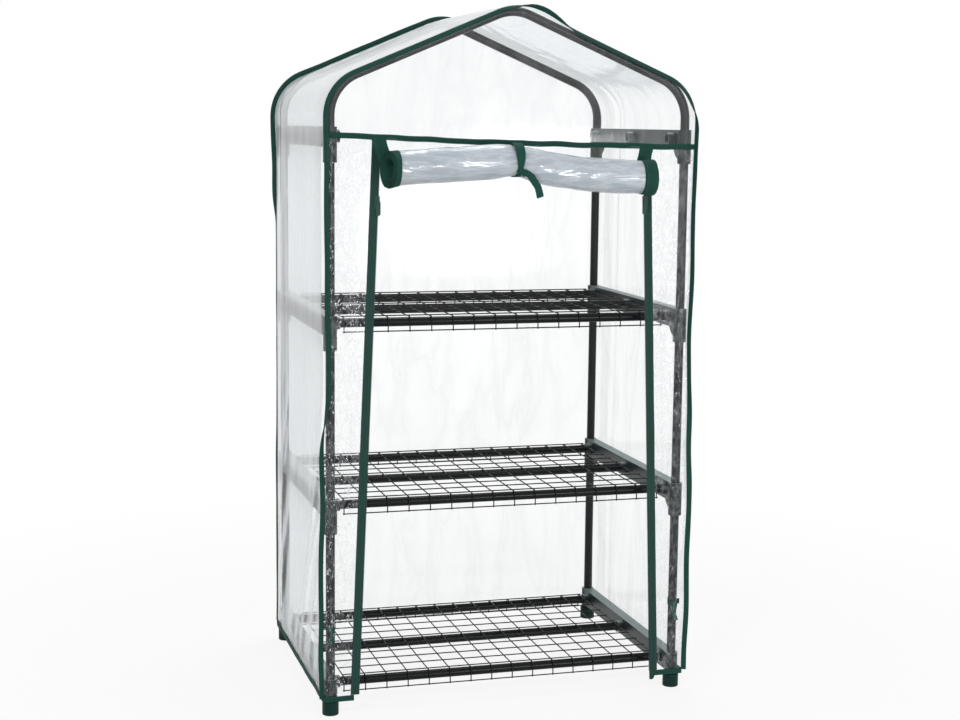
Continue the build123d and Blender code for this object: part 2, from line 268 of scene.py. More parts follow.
# %% [markdown]
# ## Shared effects
# Three effects turn up in more than one finish, so each is a node group that is built once. The
# first is fine grain: paint and moulded plastic are a little mottled and have a slight orange peel.
# A picture of paint would do too, but two noises of different sizes need no picture and no
# unwrapping.


# %% Fine grain
class Group:
    """A shader node group with named inputs and outputs."""

    def __init__(self, name, inputs, outputs):
        self.tree = bpy.data.node_groups.new(name, "ShaderNodeTree")
        for label, value in inputs.items():
            self.socket(label, "INPUT").default_value = value
        for label in outputs:
            self.socket(label, "OUTPUT")
        self.given = self.tree.nodes.new("NodeGroupInput").outputs
        self.result = self.tree.nodes.new("NodeGroupOutput").inputs

    def socket(self, label, way):
        return self.tree.interface.new_socket(name=label, in_out=way, socket_type="NodeSocketFloat")

    def give(self, label, source):
        wire(self.tree, source, self.result[label])


def cloud(tree, place, scale, detail, distortion=0.0):
    """One Noise Texture node."""
    inputs = {"Vector": place, "Scale": scale, "Detail": detail, "Distortion": distortion}
    return node(tree, "ShaderNodeTexNoise", inputs).outputs["Fac"]


def make_grain():
    group = Group("fine grain", {"Scale": 400.0}, ("Tone", "Height"))
    tree = group.tree
    place = node(tree, "ShaderNodeTexCoord").outputs["Object"]
    fine = cloud(tree, place, group.given["Scale"], 3.0)
    broad = cloud(tree, place, 14.0, 5.0)
    tone = sum_up(tree, "MULTIPLY_ADD", broad, 0.75, 0.2)
    group.give("Tone", sum_up(tree, "MULTIPLY_ADD", fine, 0.15, tone))
    group.give("Height", fine)
    return tree


grain = make_grain()
print("shared effect:", grain.name)

# %% [markdown]
# Woven tape has threads both ways and two rows of stitches. Modelling each thread would take
# millions of faces. Two sine waves make the threads instead, and steps make the stitches. All of
# them follow the along and across layers of the strips, so they stay in line round every bend.

# %% Woven tape
stitch_row = 0.31
stitch_half = 0.035
stitch_pitch = 4.2 * mm
stitch_share = 0.68


def make_weave():
    group = Group("woven tape", {"Width": 0.01, "Thread": 0.0007}, ("Threads", "Stitches"))
    tree = group.tree
    along, across = (
        node(tree, "ShaderNodeAttribute", attribute_name=name).outputs["Fac"] for name in ("along", "across")
    )
    turn = sum_up(tree, "DIVIDE", 2 * pi, group.given["Thread"])
    warp = sum_up(tree, "SINE", sum_up(tree, "MULTIPLY", along, turn))
    over = sum_up(tree, "MULTIPLY", across, group.given["Width"])
    weft = sum_up(tree, "SINE", sum_up(tree, "MULTIPLY", over, turn))
    cross = sum_up(tree, "MULTIPLY", warp, weft)
    group.give("Threads", sum_up(tree, "MULTIPLY_ADD", cross, 0.5, 0.5))
    from_mid = sum_up(tree, "ABSOLUTE", sum_up(tree, "SUBTRACT", across, 0.5))
    from_row = sum_up(tree, "ABSOLUTE", sum_up(tree, "SUBTRACT", from_mid, stitch_row))
    in_row = sum_up(tree, "LESS_THAN", from_row, stitch_half)
    step = sum_up(tree, "FRACT", sum_up(tree, "DIVIDE", along, stitch_pitch))
    on_thread = sum_up(tree, "LESS_THAN", step, stitch_share)
    group.give("Stitches", sum_up(tree, "MULTIPLY", in_row, on_thread))
    return tree


weave = make_weave()
print("shared effect:", weave.name)

# %% [markdown]
# Crinkle gives film its fine creases, which are too small to model, the milky bloom where the film
# has been folded, and loose white specks, which are painted glints: white put where small dents
# would catch the light. A crease is where a smooth noise crosses its middle value, and shortening one
# axis draws the creases out along it.

# %% Film crinkle
# painted glints: size and threshold of the white specks that stand in for light caught by dents
painted_glint_scale = 230.0
painted_glint_span = (0.645, 0.7)


def make_crinkle():
    inputs = {"Scale": 26.0, "Sharpness": 6.0, "Shorten X": 1.0, "Shorten Z": 1.0}
    group = Group("film crinkle", inputs, ("Height", "Bloom", "Painted glints"))
    tree, given = group.tree, group.given
    place = node(tree, "ShaderNodeTexCoord").outputs["Object"]
    lengths = {"X": given["Shorten X"], "Y": 1.0, "Z": given["Shorten Z"]}
    shorten = node(tree, "ShaderNodeCombineXYZ", lengths).outputs[0]
    drawn = node(tree, "ShaderNodeVectorMath", {0: place, 1: shorten}, operation="MULTIPLY").outputs[0]
    folds = cloud(tree, drawn, given["Scale"], 3.0, 0.4)
    ridge = sum_up(tree, "ABSOLUTE", sum_up(tree, "SUBTRACT", folds, 0.5))
    fall = sum_up(tree, "MULTIPLY", ridge, given["Sharpness"])
    crest = sum_up(tree, "SUBTRACT", 1.0, fall, clamp=True)
    group.give("Height", crest)
    worn = cloud(tree, drawn, 5.0, 6.0)
    group.give("Bloom", sum_up(tree, "MULTIPLY", sum_up(tree, "POWER", crest, 3.0), worn))
    # painted glints: a thresholded noise that marks small white specks
    group.give("Painted glints", remap(tree, cloud(tree, drawn, painted_glint_scale, 1.0, 1.2), painted_glint_span, soft=True))
    return tree


crinkle = make_crinkle()
print("shared effect:", crinkle.name)

# %% [markdown]
# ## Hard finishes
# The tubes are powder coated: dark, satin, with a faint orange peel. The rails, feet and zip parts
# are moulded plastic, softer and less shiny, and the rails' upper faces are painted paler, as light
# from above would make them. All are one Principled shader with the grain group for its tone,
# roughness and bump, so one function makes them and only the numbers differ. This painted light on
# the top follows the surface's own direction.

# %% Hard finishes
peel_depth = 0.4 * mm
# painted light: how far up a face must point to get the paler colour of a lit top
painted_top_light_span = (0.6, 1.0)


def toned(tree, tone, dark, light):
    """A colour that goes from dark to light with a tone of 0 to 1. An end may be a socket."""
    a, b = (c if isinstance(c, bpy.types.NodeSocket) else (*c, 1) for c in (dark, light))
    made = node(tree, "ShaderNodeMix", {"Factor": tone, "A": a, "B": b}, data_type="RGBA")
    return made.outputs["Result"]


def relief(tree, height, depth, strength):
    """The normal of one Bump node."""
    made = node(tree, "ShaderNodeBump", {"Height": height, "Distance": depth, "Strength": strength})
    return made.outputs["Normal"]


def use_group(tree, group, values):
    return node(tree, "ShaderNodeGroup", values, node_tree=group).outputs


def hard_finish(name, dark, light, rough, scale, bump, gloss, top=None):
    mat, tree, shader = start_finish(name)
    out = use_group(tree, grain, {"Scale": scale})
    colour = toned(tree, out["Tone"], dark, light)
    # painted light: faces that point up get a paler colour, as if lit from above
    if top:
        normal = node(tree, "ShaderNodeNewGeometry").outputs["Normal"]
        up = node(tree, "ShaderNodeSeparateXYZ", {0: normal}).outputs["Z"]
        colour = toned(tree, remap(tree, up, painted_top_light_span, soft=True), colour, top)
    feed(tree, shader, {
        "Base Color": colour,
        "Roughness": remap(tree, out["Tone"], end=(rough - 0.08, rough + 0.1)),
        "Normal": relief(tree, out["Height"], peel_depth, bump),
        "Specular IOR Level": gloss,
    })
    return mat


coat_charcoal = hard_finish(
    "powder coat charcoal", (0.008, 0.0088, 0.0096), (0.021, 0.0228, 0.0245),
    rough=0.28, scale=700, bump=0.12, gloss=0.2,
)
coat_black = hard_finish(
    "powder coat black", (0.003, 0.0034, 0.0038), (0.009, 0.01, 0.011),
    rough=0.22, scale=700, bump=0.1, gloss=0.12,
)
wire_black = hard_finish(
    "dipped wire black", (0.005, 0.0055, 0.006), (0.013, 0.014, 0.015),
    rough=0.3, scale=900, bump=0.1, gloss=0.14,
)
# the rails' top colour is painted light on their upper faces
rail_green = hard_finish(
    "moulded rail grey green", (0.008, 0.0135, 0.013), (0.019, 0.029, 0.0275),
    rough=0.33, scale=500, bump=0.12, gloss=0.3, top=(0.2, 0.26, 0.26),
)
foot_green = hard_finish(
    "moulded foot green", (0.001, 0.016, 0.012), (0.004, 0.028, 0.023),
    rough=0.45, scale=500, bump=0.2, gloss=0.14,
)
zip_green = hard_finish(
    "moulded zip green", (0.002, 0.026, 0.019), (0.006, 0.048, 0.036),
    rough=0.45, scale=600, bump=0.1, gloss=0.3,
)
hard_finishes = {
    "upright": coat_charcoal, "roof_tube": coat_charcoal, "crossbar": coat_black, "wire_shelf": wire_black,
    "side_rail": rail_green, "foot": foot_green, "zip_slider": zip_green, "zip_pull": zip_green,
}
painted = 0
for solid_name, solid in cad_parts.items():
    for start, finish in hard_finishes.items():
        if solid_name.startswith(start):
            solid.data.materials.clear()
            solid.data.materials.append(finish)
            painted += 1
print("hard finishes on", painted, "solids")

# %% [markdown]
# ## Tape finishes
# The tape is dark green woven polyester with two rows of stitching. A picture of cloth would need
# to be laid on every strip, so the threads and stitches come from the weave group instead, which
# follows each strip by its along and across layers. The zip's cloth is a little greyer.

# %% Tape finishes
weave_depth = 0.3 * mm
stitch_gain = 1.3


def tape_finish(name, dark, light, width, thread):
    mat, tree, shader = start_finish(name)
    out = use_group(tree, weave, {"Width": width, "Thread": thread})
    mottle = sum_up(tree, "MULTIPLY", use_group(tree, grain, {"Scale": 300.0})["Tone"], 0.65)
    cloth = toned(tree, sum_up(tree, "MULTIPLY_ADD", out["Threads"], 0.35, mottle), dark, light)
    raised = sum_up(tree, "ADD", out["Threads"], out["Stitches"])
    feed(tree, shader, {
        "Base Color": toned(tree, out["Stitches"], cloth, [c * stitch_gain for c in light]),
        "Roughness": 0.75,
        "Specular IOR Level": 0.25,
        "Normal": relief(tree, raised, weave_depth, 0.5),
    })
    return mat


edge_w = 9 * mm
zip_w = 13 * mm
tie_w = 18 * mm
tape_green = tape_finish(
    "woven tape green", (0.0015, 0.027, 0.019), (0.005, 0.052, 0.038), edge_w, 0.8 * mm
)
zip_cloth = tape_finish("woven zip green", (0.005, 0.029, 0.022), (0.014, 0.05, 0.041), zip_w, 0.8 * mm)
ribbon_green = tape_finish(
    "woven ribbon green", (0.0015, 0.03, 0.022), (0.005, 0.058, 0.044), tie_w, 0.9 * mm
)
print("tape finishes ready")

# %% [markdown]
# ## Film finishes
# Clear film does three things with light: most goes straight through, a little is scattered by
# haze and bloom, and a share that grows at a slant is mirrored. Mixing a Transparent, a cloudy and
# a mirror shader gives that with one thin sheet, where a glass shader would bend the view as a
# thick block does. Half of the cloudy part is Translucent, because film that is lit from outside
# also glows inwards. The mirror's share comes from how the sheet faces the eye, because the Fresnel
# node takes the inner side of a sheet for the inside of a block. At a slant light goes a longer way
# through film, so it turns milky there.

# %% Film finish
crease_depth = 2 * mm
slant_span = (0.62, 0.86)
crease_tint = 0.3
tint_straight, tint_slanted = (0.99, 0.995, 0.995), (0.8, 0.83, 0.86)
mirror_tint = (0.95, 0.97, 0.98, 1)
head_on = 0.04
milk_white = ((0.84, 0.88, 0.9), (0.92, 0.94, 0.95))
milk_blue = ((0.64, 0.7, 0.75), (0.97, 0.98, 0.99))


def film_finish(
    name, crease, bump, haze, bloom, veil, gloss=0.6, mirror_rough=0.12, milk=milk_white, painted_glints=0.0
):
    mat, tree, dull = start_finish(name)
    out = use_group(tree, crinkle, crease)
    bent = relief(tree, out["Height"], crease_depth, bump)
    colour = toned(tree, out["Bloom"], *milk)
    feed(tree, dull, {"Base Color": colour, "Roughness": 0.4, "Normal": bent})
    lit_through = node(tree, "ShaderNodeBsdfTranslucent", {"Color": colour, "Normal": bent})
    cloudy = mixed(tree, 0.5, dull, lit_through)
    facing = node(tree, "ShaderNodeLayerWeight", {"Blend": 0.5, "Normal": bent}).outputs["Facing"]
    slanted = remap(tree, facing, slant_span, soft=True)
    tint = sum_up(tree, "MULTIPLY_ADD", out["Bloom"], crease_tint, slanted, clamp=True)
    passed = toned(tree, tint, tint_straight, tint_slanted)
    clear = node(tree, "ShaderNodeBsdfTransparent", {"Color": passed})
    milky = sum_up(tree, "MULTIPLY_ADD", out["Bloom"], bloom, haze)
    milky = sum_up(tree, "MULTIPLY_ADD", slanted, veil, milky, clamp=True)
    # painted glints: the specks turn the film white in small spots, as if dents caught the light
    if painted_glints:
        milky = sum_up(tree, "MULTIPLY_ADD", out["Painted glints"], painted_glints, milky, clamp=True)
    body = mixed(tree, milky, clear, cloudy)
    mirror_inputs = {
        "Normal": bent, "Base Color": mirror_tint, "Metallic": 1.0, "Roughness": mirror_rough
    }
    mirror = node(tree, "ShaderNodeBsdfPrincipled", mirror_inputs)
    at_slant = sum_up(tree, "POWER", facing, 5.0)
    shine = sum_up(tree, "MULTIPLY_ADD", at_slant, (1 - head_on) * gloss, head_on * gloss)
    show(tree, mixed(tree, shine, body, mirror))
    return mat


print("film finish ready")

# %% [markdown]
# The panels differ in how worn they are. The gable and the free part of the door are the clearest,
# the sides and the roof are hazier, and the rear has softer creases. The strips beside the doorway
# are the most crumpled, with painted glints, white specks that stand in for light caught in dents,
# strongest on the left. The film on the roll is many layers thick, so it is the whitest. Each could
# have a shader of its own, but one function with other numbers keeps them alike, as they are all
# cut from one film.

# %% Films
wide_creases = {"Scale": 12.0, "Shorten Z": 0.25}
soft_creases = {"Scale": 14.0, "Sharpness": 5.0, "Shorten Z": 0.3}
short_creases = {"Scale": 90.0, "Sharpness": 6.0, "Shorten Z": 0.45}
lengthwise_creases = {"Scale": 70.0, "Sharpness": 3.4, "Shorten X": 0.2}
film_clear = film_finish("clear film", wide_creases, bump=0.07, haze=0.02, bloom=0.1, veil=0.67)
film_slack = film_finish("slack film", wide_creases, bump=0.15, haze=0.055, bloom=0.14, veil=0.65)
film_back = film_finish("rear film", soft_creases, bump=0.12, haze=0.02, bloom=0.14, veil=0.67)
# the strips' higher bloom is partly real fold whitening and partly painted glints: whitish streaks along the
# creases
film_strips = {
    side_name: film_finish(
        f"creased film {side_name}", short_creases, bump=0.3, haze=0.001, bloom=0.3, veil=0.3,
        gloss=0.32, mirror_rough=0.08, painted_glints=painted_glints,
    )
    # the left strip gets the strongest painted glints
    for side_name, painted_glints in (("left", 0.75), ("right", 0.28))
}
film_wound = film_finish(
    "wound film", lengthwise_creases, bump=0.55, haze=0.6, bloom=0.3, veil=0.2,
    gloss=1.2, mirror_rough=0.14, milk=milk_blue,
)
films = [film_clear, film_slack, film_back, *film_strips.values(), film_wound]
print("films:", [film.name for film in films])

# %% [markdown]
# ## Small tools for drawing with operators
# A line can be drawn with one vertex as the pen: extruding it gives a straight run, spinning it
# gives a bend. Extruding the finished line sideways gives a sheet. Working this way keeps the
# vertices in order and evenly spaced, which a hand-typed list of points rarely does. Each vertex
# also remembers how far along the tape it lies and how far across, for the weave to follow.


# %% Drawing tools
def verts_of(geom):
    return [g for g in geom if isinstance(g, bmesh.types.BMVert)]


def edges_of(geom):
    return [g for g in geom if isinstance(g, bmesh.types.BMEdge)]


def blank():
    """A new bmesh whose vertices carry their place along and across a tape."""
    bm = bmesh.new()
    bm.verts.layers.float.new("along")
    bm.verts.layers.float.new("across")
    return bm


def pen(bm, x, y, z):
    """Put one vertex down, to start a line with."""
    return bmesh.ops.create_vert(bm, co=(x, y, z))["vert"][0]


def run(bm, tip, reach, steps):
    """Extrude the tip of a line straight on, in equal steps."""
    for _ in range(steps):
        tip = bmesh.ops.extrude_vert_indiv(bm, verts=[tip])["verts"][0]
        bmesh.ops.translate(bm, verts=[tip], vec=Vector(reach) / steps)
    return tip


def bend(bm, tip, centre, turn, steps, axis=(0, 1, 0)):
    """Spin the tip of a line round a centre."""
    made = bmesh.ops.spin(bm, geom=[tip], cent=centre, axis=axis, angle=turn, steps=steps)
    return verts_of(made["geom_last"])[0]


def sweep(bm, edges, reach, steps):
    """Extrude a line of edges into a sheet, in equal steps, and return its far edge."""
    for _ in range(steps):
        made = bmesh.ops.extrude_edge_only(bm, edges=edges)["geom"]
        moved = set(verts_of(made))
        bmesh.ops.translate(bm, verts=list(moved), vec=Vector(reach) / steps)
        edges = [e for e in edges_of(made) if moved.issuperset(e.verts)]
    return edges


def note_along(bm, line):
    """Write each vertex's distance along its line into the layer named along."""
    layer = bm.verts.layers.float["along"]
    for before, after in zip(line, line[1:]):
        after[layer] = before[layer] + (after.co - before.co).length


print("drawing tools ready")

# %% [markdown]
# A finished piece is one object at the origin with its place in its mesh, as the CAD solids are.
# One function does the closing steps for all of them: merge doubles, shade smooth but keep folded
# edges sharp, give it its finish, hang it on a body of the frame, and hide the solids it stands
# for. A thin tape gets its thickness from Solidify and its soft edge from Bevel, so that the drawn
# mesh stays a simple strip.

# %% Closing a piece
same_place = 1e-6


def close_piece(name, bm, finish, slot, *nodes, body="frame_and_cover", crease=40):
    """Turn a bmesh into a finished piece of the object."""
    bmesh.ops.remove_doubles(bm, verts=bm.verts[:], dist=same_place)
    mesh = bpy.data.meshes.new(name)
    bm.to_mesh(mesh)
    bm.free()
    mesh.polygons.foreach_set("use_smooth", [True] * len(mesh.polygons))
    mesh.set_sharp_from_angle(angle=radians(crease))
    ob = bpy.data.objects.new(name, mesh)
    bpy.context.scene.collection.objects.link(ob)
    mesh.materials.append(finish)
    if body:
        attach(ob, body)
    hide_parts(*nodes)
    print(f"{name}: {len(mesh.polygons)} faces")
    return ob


def thicken(ob, thickness, soft):
    """Give a strip its thickness and a soft edge."""
    solid = ob.modifiers.new("thickness", "SOLIDIFY")
    solid.thickness = thickness
    solid.offset = 0.0
    soften = ob.modifiers.new("soft edge", "BEVEL")
    soften.width = soft
    soften.segments = 2
    soften.limit_method = "ANGLE"
    soften.angle_limit = radians(50)
    return ob


def face_out(bm, centre, faces=None):
    """Make the faces of an open sheet agree, and point away from a centre."""
    faces = faces or bm.faces[:]
    bmesh.ops.recalc_face_normals(bm, faces=faces)
    lean = sum((f.normal.dot(f.calc_center_median() - centre) for f in faces), 0.0)
    if lean < 0:
        bmesh.ops.reverse_faces(bm, faces=faces)
    bm.normal_update()


print("closing tools ready")

# %% [markdown]
# ## Slack in the film
# Film hangs a little loose on its frame. Real creases are sharp lines between smooth flats, so a
# plain bumpy noise looks wrong. Taking the places where a smooth noise crosses zero gives thin
# lines instead, and stretching that noise along one axis makes them long folds. The slack is held
# to nothing at every seam, so that neighbouring panels still meet there.

# %% Slack
seam_hold = 70 * mm
foot_hold = 50 * mm
side_folds = (0.07, 0.06, 1.2)
slanting_folds = (0.07, 0.06, 0.5)
slanting_top = 0.62
fold_sharpness = 3.4


def ease(x):
    """A soft step from 0 to 1."""
    x = min(1.0, max(0.0, x))
    return x * x * (3 - 2 * x)


def hump(x):
    """A soft hump of height 1 at 0, which has faded by about 2 on either side."""
    return exp(-(x**2))


def fold(p, lengths, seed):
    """0 on the flats and 1 along a crease; the lengths say how far the creases run."""
    q = Vector((p.x / lengths[0] + seed, p.y / lengths[1] - 2 * seed, p.z / lengths[2] + 3 * seed))
    return max(0.0, 1 - fold_sharpness * abs(noise.noise(q))) ** 2


def swell(p, size, seed):
    """A broad, soft bulge between 0 and 1."""
    return 0.5 + 0.5 * noise.noise(Vector((p.x, p.y, p.z)) / size + Vector((seed, seed, seed)))


def wall_slack(p, seed):
    """How far a side or the roof stands out: most near the rear seam and low on the left."""
    from_rear = film_rear - p.y
    held = ease(min(p.y - film_front, from_rear) / seam_hold) * ease((p.z - cover_z) / foot_hold)
    near_rear = hump((from_rear - seam_hold) / 0.05)
    tall = (0.5 + 2.0 * near_rear) * fold(p, side_folds, seed)
    slanting = 0.0
    if p.x <= 0:
        leaning = Vector((p.x, p.y + 0.5 * p.z, p.z))
        slanting = 5.0 * fold(leaning, slanting_folds, seed + 3.3) * ease((slanting_top - p.z) / 0.3)
    return held * (1.5 * swell(p, 0.3, seed) + tall + slanting) * mm


print("slack ready")

# %% [markdown]
# The seams aren't straight either. The header hangs askew, and the front seam wanders along the
# posts, is drawn in a little there, and stands up off the tube just right of the ridge. Film and
# tape share these two moves, so that they stay sewn together.

# %% Loose seams
header_mid, header_slope, header_bow = -1 * mm, -25.1 * mm, 34.7 * mm
header_hold = 80 * mm
bulge_x = 50 * mm
bulge_w = 34 * mm
ridge_lift = 5 * mm
tuck = 3 * mm
wander = 6 * mm
wander_len = 160 * mm
wander_foot = 150 * mm
wander_top = 100 * mm
loose_reach = 120 * mm
seam_band = 12 * mm
side_band = 40 * mm


def header_tilt(x):
    """The header hangs a little askew: high on the left, low on the right."""
    return header_mid + header_slope * x + header_bow * x * x


def loosen_seam(p):
    """How far a place near the front seam is moved, and the rear seam drawn in."""
    near = 1 - ease((p.y - film_front) / loose_reach)
    at_seam = 1 - ease(min(p.y - film_front, film_rear - p.y) / seam_band)
    over = hump((p.x - bulge_x) / bulge_w) * ease((p.z - (ridge_cz + 0.02)) / 0.05)
    at_side = 1 - ease((film_half - abs(p.x)) / side_band)
    held = ease((p.z - cover_z) / wander_foot) * ease((knee_cz - p.z) / wander_top)
    side = 1 if p.x > 0 else -1
    out = noise.noise(Vector((p.z / wander_len, 3.1 * side, 0.4))) * wander * near
    drawn = tuck * (0.3 + 0.7 * ease((p.z - 0.3) / 0.3)) * at_seam
    return Vector((side * (out - drawn) * at_side * held, 0, ridge_lift * over * near))


def press(bm, amount, at_header=False):
    """Move each vertex along its normal by what a function of its place says."""
    shift = [(v, v.normal * amount(v.co) + loosen_seam(v.co)) for v in bm.verts]
    for v, step in shift:
        if at_header:
            step.z += header_tilt(v.co.x) * (1 - ease(abs(v.co.z - header_z) / header_hold))
        v.co += step


print("loose seams ready")

# %% [markdown]
# ## Film over the sides and the roof
# One long sheet goes up the left side, over the roof and down the right. It could be cut from flat
# panels, but the real sheet is continuous, so its arch is drawn as one line with runs and bends
# and then swept from front to rear.

# %% Sides and roof
sheet_pitch = 9 * mm


def newer(elements, before):
    """The vertices, edges or faces that were drawn after a set was taken."""
    return [e for e in elements if e not in before]


def arch_line(bm, outset, y, low_z, pitch):
    """Draw the cover's arch as a line of edges, outset from the film, and return its vertices."""
    before = set(bm.verts)
    steps = max(2, round((knee_cz - low_z) / pitch))
    slope_steps = max(2, round(slope_len / pitch))
    knee_steps = max(4, round(film_bend * knee_turn / pitch * 1.5))
    ridge_steps = max(4, round(film_bend * 2 * roof_slope / pitch * 1.5))
    climb = Vector((cos(roof_slope), 0, sin(roof_slope))) * slope_len
    tip = pen(bm, -film_half - outset, y, low_z)
    tip = run(bm, tip, (0, 0, knee_cz - low_z), steps)
    tip = bend(bm, tip, (-knee_x, y, knee_cz), knee_turn, knee_steps)
    tip = run(bm, tip, climb, slope_steps)
    tip = bend(bm, tip, (0, y, ridge_cz), 2 * roof_slope, ridge_steps)
    tip = run(bm, tip, (climb.x, 0, -climb.z), slope_steps)
    tip = bend(bm, tip, (knee_x, y, knee_cz), knee_turn, knee_steps)
    run(bm, tip, (0, 0, low_z - knee_cz), steps)
    line = newer(bm.verts, before)
    note_along(bm, line)
    return line


middle = Vector((0, frame_y, wrap_high.z / 2))
bm = blank()
arch_line(bm, 0, film_front, cover_z, sheet_pitch)
depth = film_rear - film_front
sweep(bm, bm.edges[:], (0, depth, 0), round(depth / sheet_pitch))
face_out(bm, middle)
press(bm, lambda p: wall_slack(p, 1.7))
cover_wrap = close_piece("film_sides_and_roof", bm, film_slack, "clear_film", "cover_sides_and_roof")

# %% [markdown]
# ## Flat film panels
# The rear panel, the gable and the two strips beside the doorway are flat cuts. Their outline is
# drawn with the same line and filled to one face. A face with so many corners can't wrinkle, so
# it is sliced with planes across and up into a fine grid, which keeps the outline exact.

# %% Flat panels
panel_pitch = 12 * mm
panel_hold = 60 * mm
panel_folds = (0.06, 0.05, 0.7)


def everything(bm):
    return bm.verts[:] + bm.edges[:] + bm.faces[:]


def slice_panel(bm, pitch):
    """Cut a flat upright panel into a grid."""
    low = Vector((min(v.co.x for v in bm.verts), 0, min(v.co.z for v in bm.verts)))
    high = Vector((max(v.co.x for v in bm.verts), 0, max(v.co.z for v in bm.verts)))
    for axis in (Vector((1, 0, 0)), Vector((0, 0, 1))):
        reach = (high - low).dot(axis)
        count = round(reach / pitch)
        for i in range(1, count):
            at = low + axis * reach * i / count
            bmesh.ops.bisect_plane(bm, geom=everything(bm), plane_co=at, plane_no=axis, dist=1e-7)


def fill_line(bm, line):
    """Close a line and fill it to one face, and return the face's area."""
    bm.edges.new((line[-1], line[0]))
    bmesh.ops.contextual_create(bm, geom=bm.edges[:])
    return sum(f.calc_area() for f in bm.faces)


def panel_slack(p, seed):
    """Slack of a flat panel, held at the arch, at the header and at the hem."""
    roof_gap = (film_half - abs(p.x)) * tan(roof_slope) + knee_cz + film_bend * 0.6 - p.z
    held = ease((film_half - abs(p.x)) / panel_hold) * ease(roof_gap / panel_hold)
    held *= ease((p.z - cover_z) / foot_hold) * ease(abs(p.z - header_z) / 0.03)
    return held * (1.5 * swell(p, 0.25, seed) + 0.7 * fold(p, panel_folds, seed)) * mm


def flat_panel(name, y, low_z, seed, finish, node_name, at_header=False):
    bm = blank()
    area = fill_line(bm, arch_line(bm, 0, y, low_z, sheet_pitch))
    slice_panel(bm, panel_pitch)
    face_out(bm, middle)
    press(bm, lambda p: panel_slack(p, seed), at_header)
    return close_piece(name, bm, finish, "clear_film", node_name), area


cover_back, back_area = flat_panel("film_rear", film_rear, cover_z, 3.1, film_back, "cover_back")
cover_gable, gable_area = flat_panel(
    "film_gable", film_front, header_z, 5.9, film_clear, "cover_front_gable", True
)

# %% [markdown]
# The strips beside the doorway narrow a little towards the foot, because the zips lean outwards.
# In use the film there is pulled by the zip and by the ribbon on the post, so its creases are
# deeper and run up along the post. That is where the photograph shows most of its glints.

# %% Strips beside the doorway
zip_low, zip_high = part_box("zip_tape_right")
bead_w = 3 * mm
zip_lean = radians(2.1487)
zip_top_x = zip_low.x + bead_w * cos(zip_lean)
zip_mid_y = (zip_low.y + zip_high.y) / 2
strip_pitch = 6 * mm
strip_hold = 20 * mm
strip_folds = (0.022, 0.05, 0.25)
strip_dents = (0.03, 0.05, 0.05)
print(f"zips lean {zip_lean:.4f} and start {zip_top_x:.4f} m from the middle")


def strip_edge(z):
    """Distance from the middle to a strip's inner edge, under the zip tape, at a height."""
    return zip_top_x + (zip_high.z - z) * tan(zip_lean) + zip_w / 2


def strip_slack(p, seed):
    held = ease((film_half - abs(p.x)) / strip_hold) * ease((abs(p.x) - strip_edge(p.z)) / strip_hold)
    held *= ease((header_z - p.z) / 0.04) * ease((p.z - cover_z) / foot_hold)
    tall = fold(p, strip_folds, seed)
    small = fold(p, strip_dents, seed + 2.7)
    return held * (1.6 * swell(p, 0.1, seed) + 1.8 * tall + 1.2 * small) * mm


sides = (("left", -1), ("right", 1))
for side_name, side in sides:
    bm = blank()
    inner_top = side * strip_edge(header_z)
    inner_foot = side * strip_edge(cover_z)
    tip = pen(bm, side * film_half, film_front, cover_z)
    tip = run(bm, tip, (0, 0, header_z - cover_z), 1)
    tip = run(bm, tip, (inner_top - side * film_half, 0, 0), 1)
    run(bm, tip, (inner_foot - inner_top, 0, cover_z - header_z), 1)
    fill_line(bm, list(bm.verts))
    slice_panel(bm, strip_pitch)
    face_out(bm, middle)
    press(bm, lambda p: strip_slack(p, 8.2 + side), True)
    close_piece(
        f"film_strip_{side_name}", bm, film_strips[side_name], "clear_film", f"cover_front_strip_{side_name}"
    )

# %% [markdown]
# ## Edge tape
# The seams at the front and the rear are bound with tape that stands out from the cover as a fin.
# Two arch lines, one at the film and one further out, are bridged into a band, and Solidify makes
# it a tape. The fin is turned about its seam: the front one is folded over forwards, most on the
# left and over the roof, and stands up only low on the posts and just right of the ridge. The rear
# one is folded back except over the left slope. Sewn tape is never straight, so it sways a little.

# %% Edge tape
edge_t = 2 * mm
edge_pitch = 12 * mm
under_hem = 2 * mm
rear_standing, rear_folding = 15, 73
front_standing = 25
left_folding, post_folding, roof_folding = 115, 45, 70
folded_above = 0.45
standing_w = 45 * mm
standing_share = 0.85
rear_folded_below = 0.93


def sway(p, size, amount, seed):
    """A slow wander of a seam, the same in every run."""
    q = Vector((p.x, p.y, p.z)) / size
    shifts = ((seed, 0, 0), (0, seed, 9), (4, 0, seed))
    return Vector([noise.noise(q + Vector(shift)) for shift in shifts]) * amount


def fin_turn(p, at_front):
    """How far the fin is turned about its seam: forwards at the front, backwards at the rear."""
    if not at_front:
        back = max(ease((rear_folded_below - p.z) / 0.1), ease((p.x - 0.02) / 0.06))
        return radians(rear_standing + rear_folding * back)
    over_roof = ease((p.z - knee_cz + 0.02) / 0.06)
    upright = hump((p.x - bulge_x) / standing_w) * over_roof
    folding = left_folding if p.x < 0 else post_folding + roof_folding * over_roof
    folded = ease((p.z - folded_above) / 0.14) * (1 - standing_share * upright)
    return radians(front_standing + folding * folded)


def note_across(bm, verts, share):
    """Write what a function of its place says into each vertex's layer named across."""
    layer = bm.verts.layers.float["across"]
    for v in verts:
        v[layer] = share(v.co)
    return layer


def agree(bm):
    """Make all faces agree on which side is out."""
    bmesh.ops.recalc_face_normals(bm, faces=bm.faces[:])


